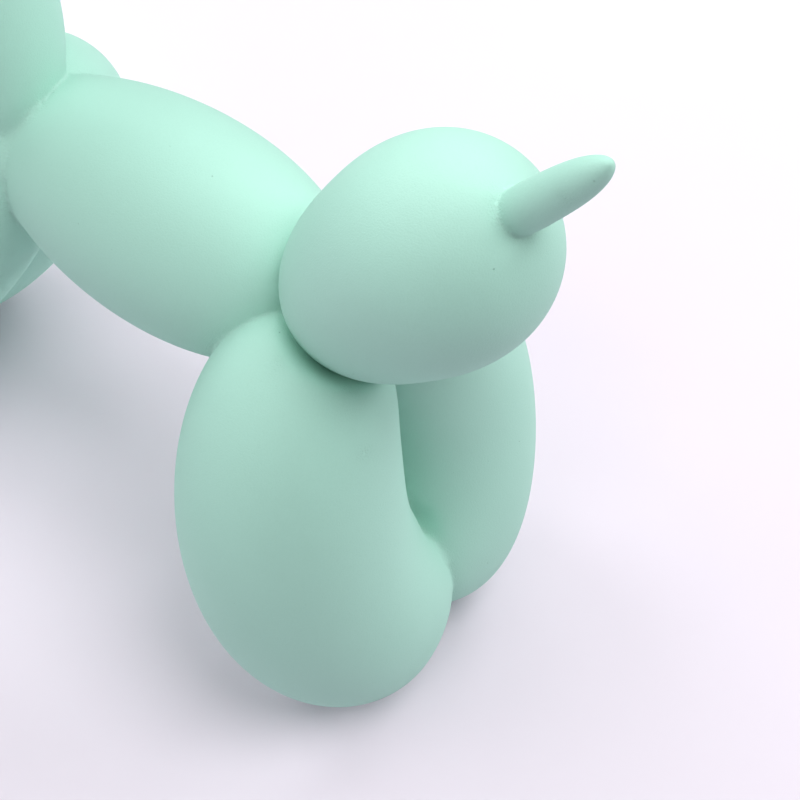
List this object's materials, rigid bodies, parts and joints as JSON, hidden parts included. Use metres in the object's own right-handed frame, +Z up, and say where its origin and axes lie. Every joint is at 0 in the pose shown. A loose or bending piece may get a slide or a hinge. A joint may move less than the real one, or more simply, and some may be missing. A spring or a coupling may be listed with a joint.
{
  "type": "balloon dog statue",
  "caption": "Matt mint ornament of a dog twisted from one long party balloon, standing on splayed legs with its tail raised and its ears up.",
  "frame": {"origin": "on the floor under the middle of the whole statue's box", "axes": "+Z up, the dog faces -Y, its left side is +X"},
  "size_m": [0.1188, 0.2818, 0.2572],
  "materials": {
    "mint_matt": "matt, chalky pale mint paint with a very fine grain over cast polyresin"
  },
  "bodies": {
    "root": {"balloon_dog": "mint_matt"}
  },
  "joints": []
}
